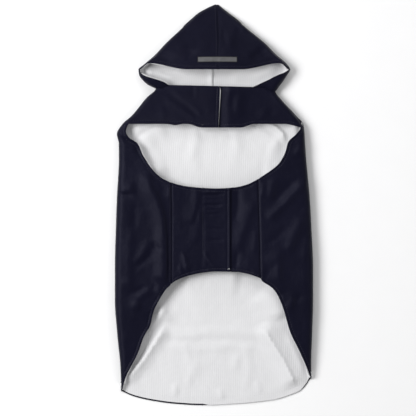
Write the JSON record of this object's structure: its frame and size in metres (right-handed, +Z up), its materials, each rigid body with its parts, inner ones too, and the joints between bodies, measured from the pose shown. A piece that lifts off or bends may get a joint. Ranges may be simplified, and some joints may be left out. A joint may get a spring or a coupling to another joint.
{
  "type": "dog raincoat",
  "caption": "Hooded dog raincoat laid flat on its back, belly side up, with a lapped chest band and belly closure.",
  "frame": {"origin": "middle of the coat's outline, on the surface that it lies on", "axes": "+Z up from that surface to the belly side, +Y from the hem to the hood, +X to the right as seen from above"},
  "size_m": [0.2513, 0.5081, 0.0269],
  "materials": {
    "shell_navy": "coated plain-weave polyester, soft satin",
    "lining_white": "fine ribbed knit mesh, matt",
    "reflector_grey": "grey reflective tape, satin"
  },
  "bodies": {
    "root": {"body_shell": "shell_navy", "body_lining": "lining_white", "belly_flap_left": "shell_navy", "belly_flap_right": "shell_navy", "hood_left": "shell_navy", "hood_right": "shell_navy", "hood_lining_left": "lining_white", "hood_lining_right": "lining_white", "hood_reflector": "reflector_grey"}
  },
  "joints": []
}
